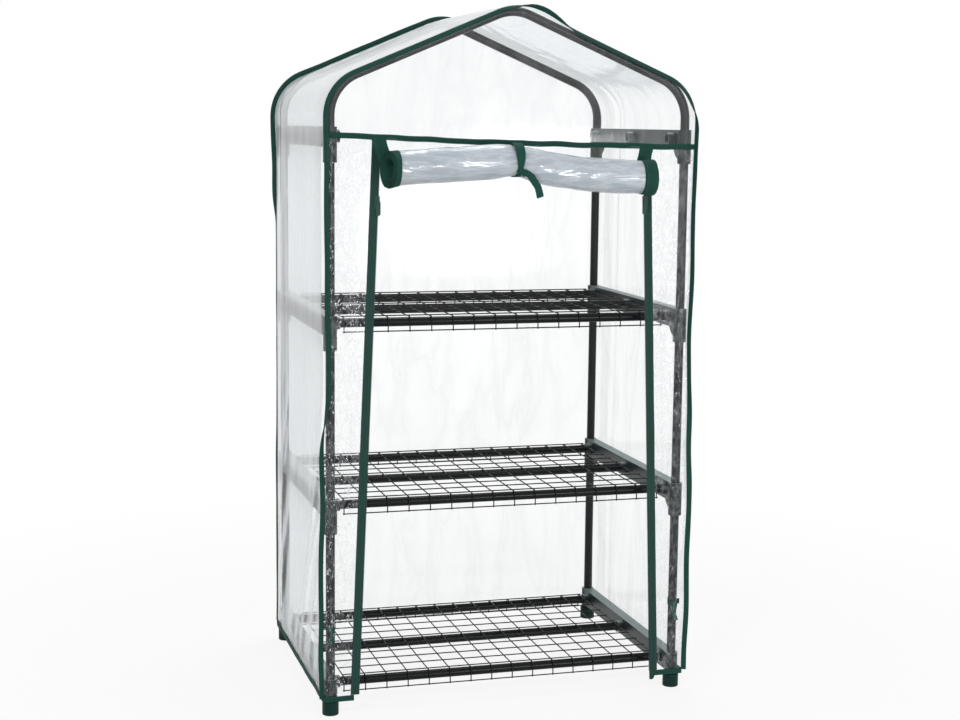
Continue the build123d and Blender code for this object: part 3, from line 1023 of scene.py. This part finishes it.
def edge_tape(name, y, seed, node_name):
    bm = blank()
    at_front = y < frame_y
    low_z = hem_high.z - under_hem
    inner = arch_line(bm, 0, y, low_z, edge_pitch)
    outer = arch_line(bm, edge_w + film_t, y, low_z, edge_pitch)
    note_across(bm, outer, lambda p: 1.0)
    bmesh.ops.bridge_loops(bm, edges=bm.edges[:])
    away = Vector((0, -1 if at_front else 1, 0))
    for seam, rim in zip(inner, outer):
        reach = rim.co - seam.co
        turn = fin_turn(seam.co, at_front)
        loosened = loosen_seam(seam.co)
        rim.co = seam.co + reach * cos(turn) + away * reach.length * sin(turn)
        rim.co += sway(rim.co, 0.07, 0.8 * mm, seed) + loosened
        seam.co += loosened
    agree(bm)
    ob = close_piece(name, bm, tape_green, "tape_green", node_name)
    return thicken(ob, edge_t, 0.5 * mm)


tape_out = (film_t + edge_t) / 2
edge_front = edge_tape("edge_tape_front_sewn", film_front - tape_out, 2.2, "edge_tape_front")
edge_rear = edge_tape("edge_tape_rear_sewn", film_rear + tape_out, 6.4, "edge_tape_rear")

# %% [markdown]
# ## Hem and header
# The hem is a tape round the foot of the cover, open at the doorway. Its line starts at one zip,
# goes round the three other sides and ends at the other zip. The header is a folded seam across
# the front that carries the door, so it is thicker, and it wanders up and down a little.

# %% Hem and header
hem_t = 1.5 * mm


def strip(bm, start, legs, reach, rows):
    """Draw a line leg by leg, sweep it into a strip, and return the strip's vertices."""
    before = set(everything(bm))
    tip = pen(bm, *start)
    for leg, steps in legs:
        tip = run(bm, tip, leg, steps)
    note_along(bm, newer(bm.verts, before))
    sweep(bm, newer(bm.edges, before), reach, rows)
    return newer(bm.verts, before)


def hem_tape():
    bm = blank()
    half = film_half + film_t / 2
    gate = strip_edge(cover_z)
    front = film_front - film_t / 2
    rear = film_rear + film_t / 2
    tall = hem_high.z - hem_low.z
    beside, back = ((gate - half, 0, 0), 6), ((0, rear - front, 0), 40)
    across_rear, forth = ((2 * half, 0, 0), 56), ((0, front - rear, 0), 40)
    legs = [beside, back, across_rear, forth, beside]
    strip(bm, (-gate, front, hem_low.z), legs, (0, 0, tall), 2)
    note_across(bm, bm.verts, lambda p: (p.z - hem_low.z) / tall)
    face_out(bm, Vector((0, frame_y, hem_low.z)))
    for v in bm.verts:
        step = sway(v.co, 0.06, 1.4 * mm, 3.3)
        v.co += v.normal * (abs(step.x) + hem_t / 2) + Vector((0, 0, step.z))
    ob = close_piece("hem_tape_sewn", bm, tape_green, "tape_green", "hem_tape")
    return thicken(ob, hem_t, 0.4 * mm)


def header_seam():
    bm = blank()
    deep = header_high.y - header_low.y
    tall = header_high.z - header_low.z
    start = (-film_half, header_high.y, header_low.z)
    strip(bm, start, [((2 * film_half, 0, 0), 90)], (0, 0, tall), 3)
    across = note_across(bm, bm.verts, lambda p: (p.z - header_low.z) / tall)
    for v in bm.verts:
        out = 1 - (2 * v[across] - 1) ** 2
        step = sway(Vector((v.co.x, 0, 0)), 0.05, 1.8 * mm, 1.2)
        v.co += Vector((0, -deep * (0.35 + 0.3 * out), step.z + header_tilt(v.co.x)))
    face_out(bm, Vector((0, frame_y, header_z)))
    ob = close_piece("header_seam_sewn", bm, tape_green, "tape_green", "header_seam")
    return thicken(ob, deep * 0.55, 0.8 * mm)


hem = hem_tape()
header = header_seam()

# %% [markdown]
# ## Zips
# Each zip is a strip of tape with a row of moulded teeth along its inner edge. The tape is drawn
# as a line down the lean of the doorway and swept sideways. A tooth is a small block with bevelled
# edges, and the row is that one tooth repeated: each has few faces, because there are hundreds. The
# right tape ends in a loose point below the hem.

# %% Zips
tooth_pitch = 3.2 * mm
tooth_share = 0.62
tooth_t = 2 * mm
under_teeth = 2 * mm
loose_end = {"left": 0.0, "right": 17 * mm}


def zip_tape(side_name, start, down, out, length):
    bm = blank()
    loose = loose_end[side_name]
    leg = (down * (length + loose), 110)
    strip(bm, start - out * under_teeth, [leg], out * (zip_w + under_teeth), 4)
    across = note_across(bm, bm.verts, lambda p: max(0.0, (p - start).dot(out) / zip_w))
    for v in bm.verts:
        past = ((v.co - start).dot(down) - length) / max(loose, mm)
        v.co -= out * zip_w * v[across] * 0.6 * ease(past)
        free = ease((start.z - v.co.z) / 0.05) * ease(v[across] * 1.4)
        v.co.y -= abs(sway(v.co, 0.08, 1.6 * mm, 5.0 + (1 if out.x > 0 else -1)).y) * free
    agree(bm)
    ob = close_piece(f"zip_tape_{side_name}_sewn", bm, zip_cloth, "tape_green", f"zip_tape_{side_name}")
    return thicken(ob, 1 * mm, 0.3 * mm)


def repeat(bm, count, step):
    """Copy all that is drawn, each copy one step further on."""
    one = everything(bm)
    for i in range(1, count):
        copy = bmesh.ops.duplicate(bm, geom=one)["geom"]
        bmesh.ops.translate(bm, verts=verts_of(copy), vec=Vector(step) * i)


def zip_teeth(side_name, start, down, out, length):
    bm = bmesh.new()
    block = Matrix.Diagonal((bead_w, tooth_t, tooth_pitch * tooth_share, 1))
    bmesh.ops.create_cube(bm, size=1.0, matrix=block)
    bmesh.ops.bevel(
        bm, geom=bm.edges[:], offset=0.35 * mm, affect="EDGES", segments=1, profile=0.5, material=-1
    )
    repeat(bm, int(length / tooth_pitch), (0, 0, tooth_pitch))
    turn = Matrix((out, Vector((0, 1, 0)), down)).transposed().to_4x4()
    bmesh.ops.transform(bm, matrix=turn, verts=bm.verts[:])
    bmesh.ops.translate(bm, verts=bm.verts[:], vec=start - out * bead_w / 2 + down * tooth_pitch / 2)
    agree(bm)
    close_piece(f"zip_teeth_{side_name}", bm, zip_green, "zip_plastic")


for side_name, side in sides:
    down = Vector((side * sin(zip_lean), 0, -cos(zip_lean)))
    out = Vector((side * cos(zip_lean), 0, sin(zip_lean)))
    start = Vector((side * zip_top_x, zip_mid_y, zip_high.z))
    start -= down * max(0.0, header_tilt(start.x))
    length = (start.z - zip_low.z) / cos(zip_lean)
    zip_tape(side_name, start, down, out, length)
    zip_teeth(side_name, start, down, out, length)

# %% [markdown]
# ## Wire shelves
# The shelf is a welded mesh of round wire. Each cross wire is bent down over the front and the rear
# bar: a small circle is extruded up, spun round the bend, extruded across, and so on. The long
# wires are straight and lie on top of the cross wires, with one more at the foot of each lip. One
# shelf is drawn three times, each time lifted to its own tier.

# %% Wire shelves
wire_r = 1.1 * mm
wire_bend = 5 * mm
cross_wires = 16
cross_pitch = 39 * mm
long_wires = 11
bar_y = 0.2
shelf_low, shelf_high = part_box("wire_shelf_lower")
top_z = shelf_high.z - 2 * wire_r - 0.3 * mm
lip_y = (shelf_high.y - shelf_low.y) / 2 - 2.5 * mm
long_half = (shelf_high.x - shelf_low.x) / 2


def start_wire(bm, centre, axis):
    """Draw a small disc square to an axis, to start a wire with, and return its rim."""
    turn = Vector(axis).to_track_quat("Z", "Y").to_matrix().to_4x4()
    place = Matrix.Translation(centre) @ turn
    made = bmesh.ops.create_circle(bm, cap_ends=True, segments=8, radius=wire_r, matrix=place)
    disc = set(made["verts"])
    return [e for e in bm.edges if disc.issuperset(e.verts)]


def turn_down(bm, rim, centre):
    made = bmesh.ops.spin(bm, geom=rim, cent=centre, axis=(1, 0, 0), angle=-pi / 2, steps=5)
    return edges_of(made["geom_last"])


def build_shelf(lift):
    bm = bmesh.new()
    rise = top_z - wire_bend - shelf_low.z
    bend_z = shelf_low.z + rise
    rim = start_wire(bm, (0, frame_y - lip_y, shelf_low.z), (0, 0, 1))
    rim = sweep(bm, rim, (0, 0, rise), 1)
    rim = turn_down(bm, rim, (0, frame_y - lip_y + wire_bend, bend_z))
    rim = sweep(bm, rim, (0, 2 * (lip_y - wire_bend), 0), 1)
    rim = turn_down(bm, rim, (0, frame_y + lip_y - wire_bend, bend_z))
    rim = sweep(bm, rim, (0, 0, -rise), 1)
    bmesh.ops.contextual_create(bm, geom=rim)
    bmesh.ops.translate(bm, verts=bm.verts[:], vec=(-cross_pitch * (cross_wires - 1) / 2, 0, 0))
    repeat(bm, cross_wires, (cross_pitch, 0, 0))
    long_pitch = 2 * bar_y / (long_wires - 1)
    longs = [(frame_y - bar_y + i * long_pitch, top_z + 1.7 * wire_r) for i in range(long_wires)]
    longs += [(frame_y + row * (lip_y + 1.4 * wire_r), shelf_low.z + 2 * wire_r) for row in (-1, 1)]
    for y, z in longs:
        rim = start_wire(bm, (-long_half, y, z), (1, 0, 0))
        bmesh.ops.contextual_create(bm, geom=sweep(bm, rim, (2 * long_half, 0, 0), 1))
    bmesh.ops.translate(bm, verts=bm.verts[:], vec=(0, 0, lift))
    agree(bm)
    return bm


for tier in ("lower", "middle", "upper"):
    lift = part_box(f"wire_shelf_{tier}")[0].z - shelf_low.z
    close_piece(
        f"mesh_shelf_{tier}", build_shelf(lift), wire_black, "wire_black", f"wire_shelf_{tier}",
        body=f"shelf_{tier}",
    )

# %% [markdown]
# ## The rolled-up door
# The door is wound up from below and hangs under the header. A pen that is spun half a turn at a
# time, each half on a slightly smaller circle, draws the winding, and a sweep along the roll makes
# the film. The ribbon in the middle pulls the roll up and squeezes it, so both ends hang lower, and
# the left end stands out to the front. Every turn is pushed in and out by the same amount at a given
# place, so the turns never cross. As the door comes down the roll gets thinner.

# %% Rolled-up door
roll_low, roll_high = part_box("door_roll")
roll_r = (roll_high.y - roll_low.y - film_t) / 2
roll_y = (roll_high.y + roll_low.y) / 2
roll_z = roll_low.z + roll_r + film_t / 2
roll_half = roll_high.x
door_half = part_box("door_edge_tapes")[1].x
band_w = door_half - roll_half
roll_pitch = 2.2 * mm
half_turns = 13
half_turn_steps = 14
drawn_in = 0.976
tie_x = -8 * mm
tie_lift, left_fall, right_fall = 18.5 * mm, 16.5 * mm, 31 * mm
left_swing = 12 * mm
end_slip = 0.26
tie_squeeze = 0.13
tie_reach = 22 * mm
crease_long, crease_round = 0.14, 1.3
crease_deep = 0.05
waver = 0.05


def hang(x):
    """How far the roll is lifted at a place along it: pulled up at the tie, low at the ends."""
    u = (x - tie_x) / door_half
    fall = -left_fall * u if u < 0 else right_fall * (1 - exp(-u / 0.4))
    return tie_lift - fall


def squeeze(x):
    """The roll's size at a place along it, as a share."""
    return 1 - tie_squeeze * hump((x - tie_x) / tie_reach)


def swing(x):
    """How far the roll's left end stands out to the front."""
    return left_swing * ease((-x / door_half - 0.25) / 0.75)


def rumple(p):
    """Move a point of the winding with the roll: lifted, swung, squeezed and creased."""
    dy, dz = p.y - roll_y, p.z - roll_z
    angle = atan2(dz, dy)
    q = Vector((p.x / crease_long, cos(angle) * crease_round, sin(angle) * crease_round))
    crease = max(0.0, 1 - 3.0 * abs(noise.noise(q + Vector((2.2, 0, 0))))) ** 2
    size = squeeze(p.x) * (1 - crease_deep * crease + waver * noise.noise(q * 0.7))
    slip = end_slip * (roll_r - dy) * ease((-p.x - roll_half) / band_w)
    y = roll_y - swing(p.x) + dy * size
    return Vector((p.x * drawn_in + slip, y, roll_z + dz * size + hang(p.x)))


def winding(bm, x):
    """Draw the door's winding at a place along the roll, from the drop inwards."""
    before = set(bm.verts)
    tip = pen(bm, x, roll_y + roll_r, roll_z)
    for half in range(half_turns):
        r = roll_r - half * roll_pitch / 2
        side = 1 if half % 2 == 0 else -1
        centre = tip.co - Vector((0, side * r, 0))
        tip = bend(bm, tip, centre, -pi, half_turn_steps, axis=(1, 0, 0))
    note_along(bm, newer(bm.verts, before))


def go_thin(ob):
    """Give a piece of the roll a mesh of its own."""
    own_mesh(ob)


bm = blank()
winding(bm, -roll_half)
sweep(bm, bm.edges[:], (2 * roll_half, 0, 0), 52)
for v in bm.verts:
    v.co = rumple(v.co)
face_out(bm, Vector((0, roll_y, roll_z)))
door_roll = close_piece("door_film_wound", bm, film_wound, "clear_film", "door_roll", body="door")
go_thin(door_roll)

# %% [markdown]
# The door's two edges are bound with wide tape, which is wound up with the film and shows as a
# green disc at each end. It is the same winding, swept over the tape's width, with a thickness
# that nearly fills the gap between the turns. The tape flares a little towards its outer edge.

# %% Wound edge tape
tape_flare = 0.05
bm = blank()
for side_name, side in sides:
    before = set(everything(bm))
    winding(bm, side * roll_half)
    sweep(bm, newer(bm.edges, before), (side * band_w, 0, 0), 4)
    fresh = newer(bm.verts, before)
    across = note_across(bm, fresh, lambda p: (abs(p.x) - roll_half) / band_w)
    for v in fresh:
        p = rumple(v.co)
        centre = Vector((p.x, roll_y - swing(v.co.x), roll_z + hang(v.co.x)))
        v.co = centre + (p - centre) * (1 + tape_flare * v[across])
    face_out(bm, Vector((side * roll_half, roll_y, roll_z)), newer(bm.faces, before))
door_tapes = close_piece(
    "door_edge_tape_wound", bm, tape_green, "tape_green", "door_edge_tapes", body="door"
)
thicken(door_tapes, 1.5 * mm, 0.3 * mm)
go_thin(door_tapes)

# %% [markdown]
# ## The free part of the door
# Between the header and the roll hangs the unrolled part, film in the middle and tape at both
# edges. It has to grow as the door comes down, so these two sheets are blended: their upper edge
# stays with the cover and their lower edge goes with the roll. The film's upper edge is tucked
# into the header seam, and the tapes hang in front of it.

# %% Free part of the door
let_out = 1.024
hang_pitch = 12 * mm
hang_rows = 30
tuck_rate = 6.5


def hanging_part(name, spans, finish, slot, thickness, node_names):
    bm = blank()
    drop = header_z - roll_z
    for left, width in spans:
        start = (left, roll_y + roll_r, header_z)
        leg = ((width, 0, 0), max(2, round(width / hang_pitch)))
        fresh = strip(bm, start, [leg], (0, 0, -drop), hang_rows)
        note_across(bm, fresh, lambda p: (p.x - left) / width)
        along = bm.verts.layers.float["along"]
        for v in fresh:
            v[along] = header_z - v.co.z
            down = (header_z - v.co.z) / drop
            v.co.z += hang(v.co.x) * ease(down) + header_tilt(v.co.x) * (1 - ease(down))
            v.co.x *= let_out + (drawn_in - let_out) * ease(down)
            inside = ease((roll_half - abs(v.co.x)) / 0.03) * (1 - ease(down * tuck_rate))
            v.co.y += (header_y - roll_y - roll_r) * inside - swing(v.co.x) * ease(down)
            v.co.y -= 1.2 * mm * ease(down * 2) * (1 - ease(down * 2 - 1)) * swell(v.co, 0.05, 4.4)
    face_out(bm, middle)
    ob = close_piece(name, bm, finish, slot, *node_names, body=None)
    if thickness:
        thicken(ob, thickness, 0.2 * mm)
    lowest_hold = roll_z + hang(tie_x)
    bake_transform(ob, "frame_and_cover", "door", start=(0, 0, header_low.z), end=(0, 0, lowest_hold))
    return ob


drop_film = hanging_part(
    "door_film_hanging", [(-roll_half, 2 * roll_half)], film_clear, "clear_film", 0, ["door_drop"]
)
drop_tapes = hanging_part(
    "door_edge_tape_hanging", [(-door_half, band_w), (roll_half, band_w)], tape_green, "tape_green",
    1 * mm, [],
)

# %% [markdown]
# ## Ribbons
# A ribbon goes round the roll and is tied in front, and one on each front post holds the cover's
# corner. A cloth simulation could drape them, but their ends lie in plain sight and have to lie as
# photographed. So a loop is one vertex spun all the way round and swept to the ribbon's width, and a
# tail is a line of short runs, swept sideways and curled a little.

# %% Ribbon round the roll
knot_angle = 0.7
knot_room = 5 * mm
long_tail = [(0.012, -0.003, -0.010), (0.012, 0.002, -0.018), (0.006, 0.004, -0.018)]
short_tail = [(0.008, -0.004, 0.004), (0.016, 0.001, -0.012)]


def ribbon_loop(bm, centre, radius, width, axis, steps=36):
    """A closed band round a centre, square to an axis."""
    turn = Vector(axis).to_track_quat("Z", "Y").to_matrix()
    before = set(everything(bm))
    tip = pen(bm, *(Vector(centre) + turn @ Vector((radius, 0, -width / 2))))
    bmesh.ops.spin(bm, geom=[tip], cent=centre, axis=axis, angle=2 * pi, steps=steps, use_merge=True)
    note_along(bm, newer(bm.verts, before))
    sweep(bm, newer(bm.edges, before), turn @ Vector((0, 0, width)), 3)
    return newer(bm.verts, before)


def ribbon_tail(bm, start, steps, width, curl):
    """A hanging end: a line of short runs, swept sideways."""
    for v in strip(bm, start, [(step, 4) for step in steps], width, 3):
        v.co += sway(v.co, 0.025, curl, 7.7)


bm = blank()
tie_r = roll_r * squeeze(tie_x) * 1.02 + 1.6 * mm
centre = Vector((tie_x, roll_y, roll_z + hang(tie_x)))
knot_at = centre + Vector((2 * mm, -cos(knot_angle) * tie_r, -sin(knot_angle) * tie_r))
for v in ribbon_loop(bm, centre, tie_r, tie_w, (1, 0, 0)):
    gathered = 0.65 * hump((v.co - knot_at).length / tie_reach)
    v.co.x += (knot_at.x - v.co.x) * gathered
knot_at.y = max(knot_at.y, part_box("door_tie")[0].y + knot_room)
ribbon_tail(bm, knot_at, long_tail, (0.011, -0.002, 0.004), 2 * mm)
ribbon_tail(bm, knot_at, short_tail, (0.004, -0.001, -0.010), 2 * mm)
agree(bm)
door_tie = close_piece(
    "door_ribbon", bm, ribbon_green, "ribbon_green", "door_tie", body="door", crease=60
)
thicken(door_tie, 0.8 * mm, 0.2 * mm)
go_thin(door_tie)

# %% [markdown]
# The knot is a lump of folded ribbon. Tying a strip in code would take many steps for a thing that
# is 14 mm wide, so it is a small ball that is pushed in along a few creases.

# %% Knot
knot_folds = (0.9, 0.6, 0.5)
knot_size = (7 * mm, 4.5 * mm, 6 * mm)
bm = bmesh.new()
for v in bmesh.ops.create_icosphere(bm, subdivisions=3, radius=1.0)["verts"]:
    dent = 0.22 * fold(v.co, knot_folds, 3.0)
    v.co = Vector([c * size for c, size in zip(v.co, knot_size)]) * (1 - dent)
bmesh.ops.translate(bm, verts=bm.verts[:], vec=knot_at)
door_knot = close_piece("door_ribbon_knot", bm, ribbon_green, "ribbon_green", body="door", crease=80)
go_thin(door_knot)

# %% [markdown]
# The ribbon on a front post is a narrower band: a loop that sits a little askew on the tube, a
# short run from the post to the film beside it, and a tail. It could be one long strip bent into
# place, but a band and two short strips, from the same functions, are easier to put where they
# belong. Both posts' ribbons are one piece, and mirror each other apart from their curl.

# %% Ribbons on the front posts
post_low, post_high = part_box("upright_lower_front_right")
post_x = (post_low.x + post_high.x) / 2
post_y = (post_low.y + post_high.y) / 2
post_r = (post_high.x - post_low.x) / 2
ties_low, ties_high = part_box("cover_ties")
ties_z = (ties_low.z + ties_high.z) / 2
band = 10 * mm
askew = 3 * mm
bm = blank()
for side_name, side in sides:
    around = (side * post_x, post_y, ties_z)
    for v in ribbon_loop(bm, around, post_r + 0.9 * mm, band, (0, 0, 1), 24):
        v.co.z += askew * sin(atan2(v.co.y - post_y, v.co.x - side * post_x))
    reach = film_half - post_x - post_r
    hold = (side * (post_x + post_r), post_y, ties_z - band / 2)
    ribbon_tail(bm, hold, [(side * reach, 0, 0)], (0, 0, band), 0.6 * mm)
    tail = (side * (post_x - 2 * mm), post_y - post_r - 2 * mm, ties_z - 4 * mm)
    falls = [(side * -0.004, -0.0015, -0.014), (side * 0.006, 0, -0.016)]
    ribbon_tail(bm, tail, falls, (side * 0.008, 0.0005, 0.001), 1 * mm)
agree(bm)
post_ribbons = close_piece("post_ribbons", bm, ribbon_green, "ribbon_green", "cover_ties", crease=60)
thicken(post_ribbons, 0.7 * mm, 0.2 * mm)
